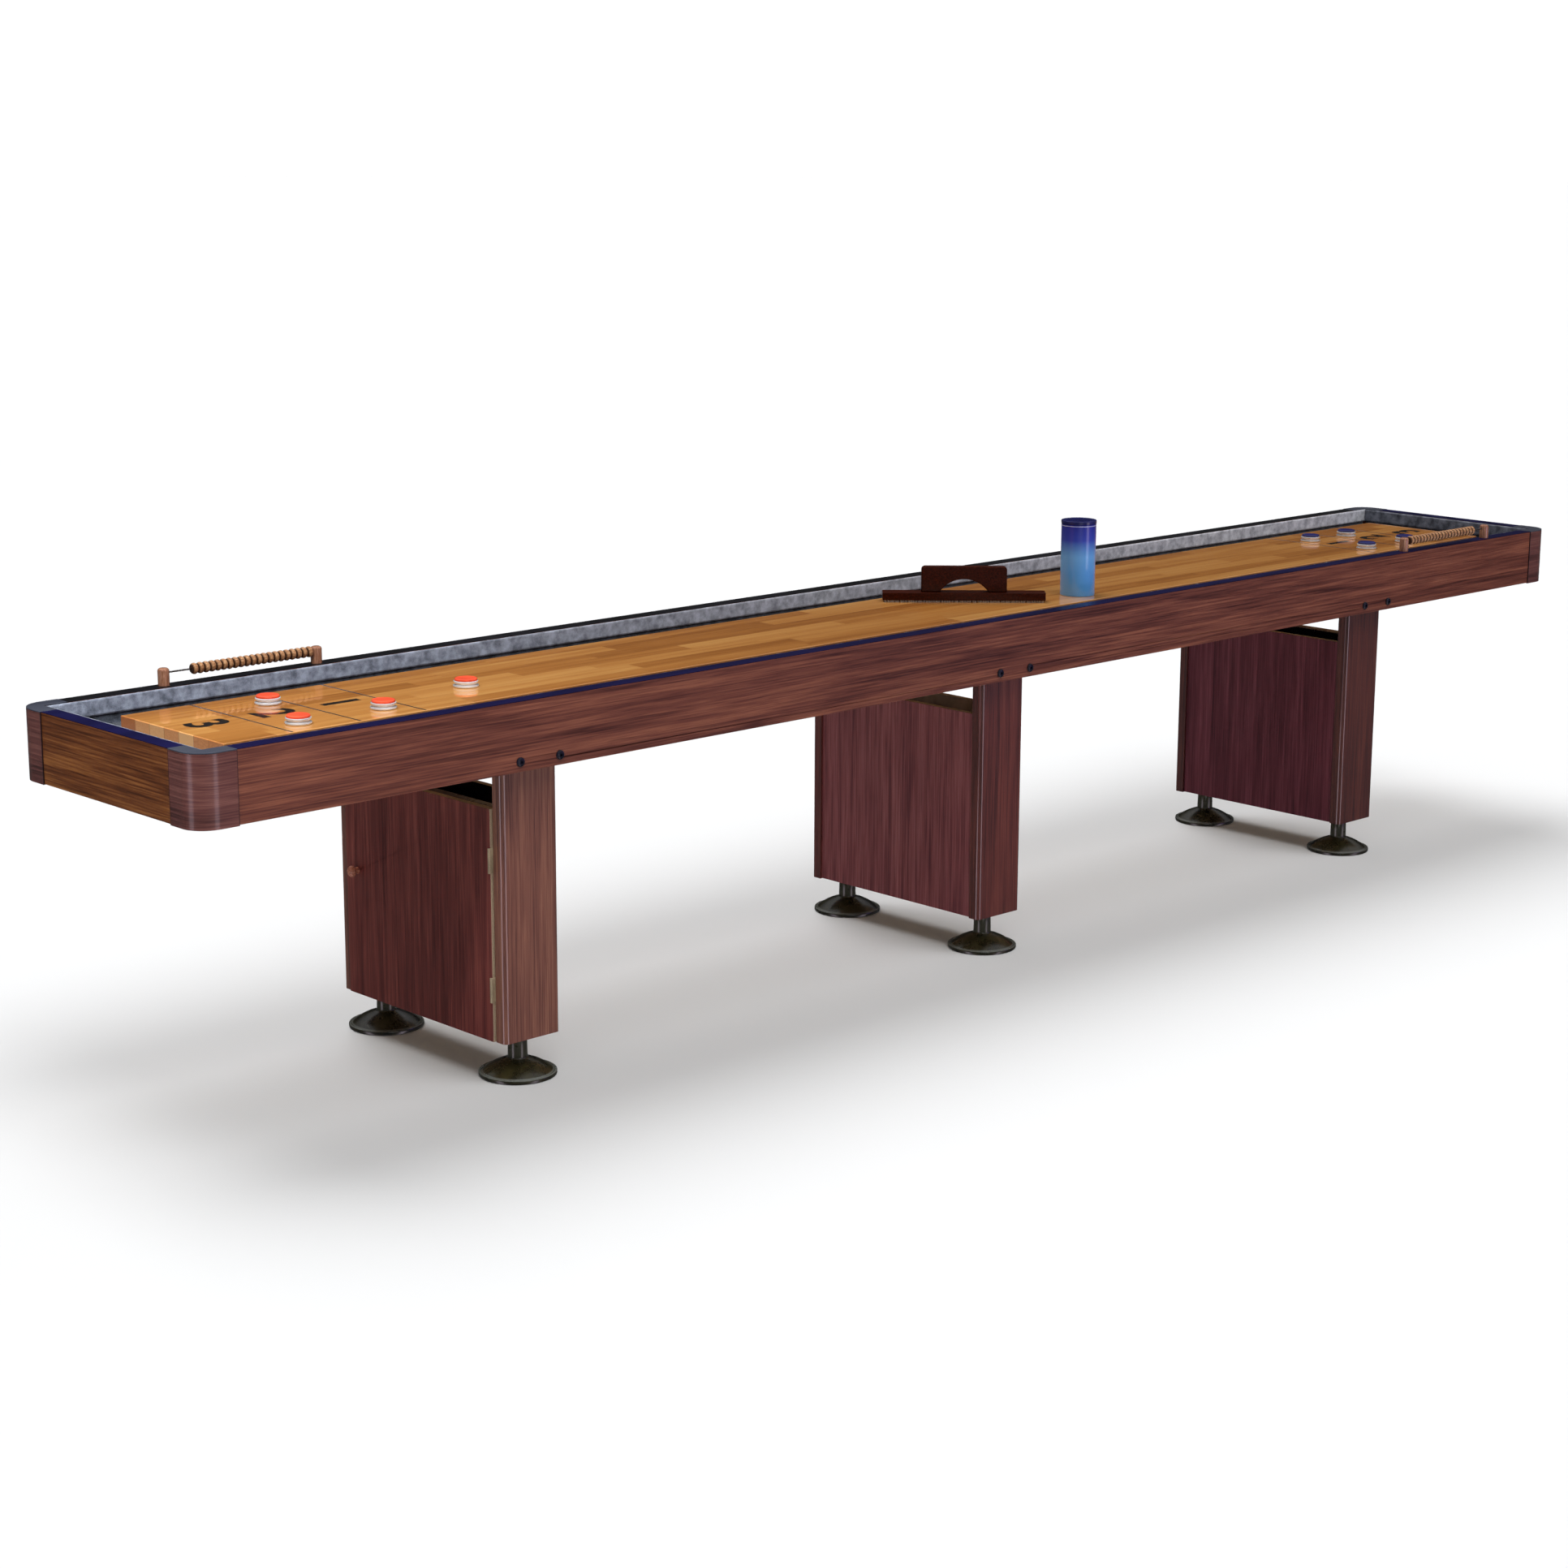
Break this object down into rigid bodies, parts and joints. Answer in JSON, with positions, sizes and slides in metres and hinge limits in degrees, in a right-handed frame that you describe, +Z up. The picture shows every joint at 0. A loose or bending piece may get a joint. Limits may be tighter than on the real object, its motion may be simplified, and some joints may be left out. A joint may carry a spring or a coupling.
{
  "type": "shuffleboard table",
  "caption": "Long wooden shuffleboard table with a gutter round its playfield, on three pedestals with levelling feet, storage doors, bead scorers, pucks, brush and wax canister.",
  "frame": {"origin": "on the floor under the middle of the table", "axes": "+X along the table, +Y to the back (the side of the left-hand scorer), +Z up"},
  "size_m": [4.271, 0.62, 0.934],
  "materials": {
    "maple_playfield": "clear high-gloss coat over butcher-block maple",
    "walnut_laminate": "satin walnut-grain laminate",
    "pedestal_laminate": "satin dark walnut-grain laminate",
    "black_rail_cap": "satin black laminate",
    "grey_carpet": "mottled short-pile grey carpet",
    "raw_board": "unfinished fibreboard and softwood",
    "black_fastener": "black oxide steel",
    "foot_black": "satin black",
    "hinge_steel": "zinc-plated steel",
    "turned_wood": "varnished turned wood",
    "scorer_rod_steel": "polished steel",
    "puck_chrome": "polished steel",
    "puck_red_cap": "gloss red plastic",
    "puck_blue_cap": "gloss blue plastic",
    "brush_wood": "glossy dark brown varnish",
    "bristle_fibre": "cut natural bristle",
    "canister_blue": "printed plain blue, glossy"
  },
  "bodies": {
    "table": {"apron_back": "walnut_laminate", "apron_bolts": "black_fastener", "apron_front": "walnut_laminate", "apron_left_end": "walnut_laminate", "apron_right_end": "walnut_laminate", "corner_back_left": "walnut_laminate", "corner_back_right": "walnut_laminate", "corner_front_left": "walnut_laminate", "corner_front_right": "walnut_laminate", "door_catches": "hinge_steel", "door_stop_rails": "raw_board", "floor_timbers": "raw_board", "foot_t_nuts": "hinge_steel", "gutter_carpet": "grey_carpet", "gutter_floor": "raw_board", "hinge_leaves_and_pins": "hinge_steel", "panel_left_pedestal": "pedestal_laminate", "panel_middle_pedestal_left": "pedestal_laminate", "panel_middle_pedestal_right": "pedestal_laminate", "panel_right_pedestal": "pedestal_laminate", "pedestal_bottoms": "raw_board", "playfield_left": "maple_playfield", "playfield_right": "maple_playfield", "post_left_back": "pedestal_laminate", "post_left_front": "pedestal_laminate", "post_middle_back": "pedestal_laminate", "post_middle_front": "pedestal_laminate", "post_right_back": "pedestal_laminate", "post_right_front": "pedestal_laminate", "rail_lining": "grey_carpet", "rail_top_caps": "black_rail_cap", "scorer_posts": "turned_wood", "scorer_rods": "scorer_rod_steel"},
    "door_left": {"door_left": "pedestal_laminate", "door_knob_left": "turned_wood", "door_fittings_left": "hinge_steel"},
    "door_right": {"door_right": "pedestal_laminate", "door_knob_right": "turned_wood", "door_fittings_right": "hinge_steel"},
    "foot_left_front": {"foot_left_front": "foot_black"},
    "foot_left_back": {"foot_left_back": "foot_black"},
    "foot_middle_front": {"foot_middle_front": "foot_black"},
    "foot_middle_back": {"foot_middle_back": "foot_black"},
    "foot_right_front": {"foot_right_front": "foot_black"},
    "foot_right_back": {"foot_right_back": "foot_black"},
    "beads_left_rear": {"scorer_beads_left_rear": "turned_wood"},
    "beads_left_lead": {"scorer_beads_left_lead": "turned_wood"},
    "beads_right_rear": {"scorer_beads_right_rear": "turned_wood"},
    "beads_right_lead": {"scorer_beads_right_lead": "turned_wood"},
    "puck_red_1": {"puck_red_1": "puck_chrome"},
    "puck_red_2": {"puck_red_2": "puck_chrome"},
    "puck_red_3": {"puck_red_3": "puck_chrome"},
    "puck_red_4": {"puck_red_4": "puck_chrome"},
    "puck_blue_1": {"puck_blue_1": "puck_chrome"},
    "puck_blue_2": {"puck_blue_2": "puck_chrome"},
    "puck_blue_3": {"puck_blue_3": "puck_chrome"},
    "puck_blue_4": {"puck_blue_4": "puck_chrome"},
    "brush": {"brush_wood": "brush_wood", "brush_bristles": "bristle_fibre"},
    "canister": {"wax_canister": "canister_blue"}
  },
  "joints": [
    {"name": "door_left_hinge", "type": "hinge", "parent": "table", "child": "door_left", "pos_m": [-1.44, -0.241, 0.323], "axis": [0, 0, 1], "range_deg": [0, 110]},
    {"name": "door_right_hinge", "type": "hinge", "parent": "table", "child": "door_right", "pos_m": [1.44, 0.241, 0.323], "axis": [0, 0, 1], "range_deg": [0, 110]},
    {"name": "foot_left_front_level", "type": "slide", "parent": "table", "child": "foot_left_front", "axis": [0, 0, 1], "range_m": [-0.02, 0]},
    {"name": "foot_left_back_level", "type": "slide", "parent": "table", "child": "foot_left_back", "axis": [0, 0, 1], "range_m": [-0.02, 0]},
    {"name": "foot_middle_front_level", "type": "slide", "parent": "table", "child": "foot_middle_front", "axis": [0, 0, 1], "range_m": [-0.02, 0]},
    {"name": "foot_middle_back_level", "type": "slide", "parent": "table", "child": "foot_middle_back", "axis": [0, 0, 1], "range_m": [-0.02, 0]},
    {"name": "foot_right_front_level", "type": "slide", "parent": "table", "child": "foot_right_front", "axis": [0, 0, 1], "range_m": [-0.02, 0]},
    {"name": "foot_right_back_level", "type": "slide", "parent": "table", "child": "foot_right_back", "axis": [0, 0, 1], "range_m": [-0.02, 0]},
    {"name": "beads_left_rear_slide", "type": "slide", "parent": "table", "child": "beads_left_rear", "axis": [1, 0, 0], "range_m": [-0.025, 0]},
    {"name": "beads_left_lead_slide", "type": "slide", "parent": "beads_left_rear", "child": "beads_left_lead", "axis": [1, 0, 0], "range_m": [-0.025, 0]},
    {"name": "beads_right_rear_slide", "type": "slide", "parent": "table", "child": "beads_right_rear", "axis": [1, 0, 0], "range_m": [-0.008, 0.02]},
    {"name": "beads_right_lead_slide", "type": "slide", "parent": "beads_right_rear", "child": "beads_right_lead", "axis": [1, 0, 0], "range_m": [0, 0.022]},
    {"name": "puck_red_1_slide", "type": "slide", "parent": "table", "child": "puck_red_1", "axis": [1, 0, 0], "range_m": [-0.24, 1.7]},
    {"name": "puck_red_2_slide", "type": "slide", "parent": "table", "child": "puck_red_2", "axis": [1, 0, 0], "range_m": [-0.174, 0.086]},
    {"name": "puck_red_3_slide", "type": "slide", "parent": "table", "child": "puck_red_3", "axis": [1, 0, 0], "range_m": [-0.057, 1.733]},
    {"name": "puck_red_4_slide", "type": "slide", "parent": "table", "child": "puck_red_4", "axis": [1, 0, 0], "range_m": [-0.629, 1.431]},
    {"name": "puck_blue_1_slide", "type": "slide", "parent": "table", "child": "puck_blue_1", "axis": [1, 0, 0], "range_m": [-1.276, 0.054]},
    {"name": "puck_blue_2_slide", "type": "slide", "parent": "table", "child": "puck_blue_2", "axis": [1, 0, 0], "range_m": [-0.034, 0.236]},
    {"name": "puck_blue_3_slide", "type": "slide", "parent": "table", "child": "puck_blue_3", "axis": [1, 0, 0], "range_m": [-1.015, 0.065]},
    {"name": "puck_blue_4_slide", "type": "slide", "parent": "table", "child": "puck_blue_4", "axis": [1, 0, 0], "range_m": [-0.053, 0.207]},
    {"name": "brush_lift", "type": "slide", "parent": "table", "child": "brush", "axis": [0, 0, 1], "range_m": [0, 0.2]},
    {"name": "canister_lift", "type": "slide", "parent": "table", "child": "canister", "axis": [0, 0, 1], "range_m": [0, 0.2]}
  ]
}
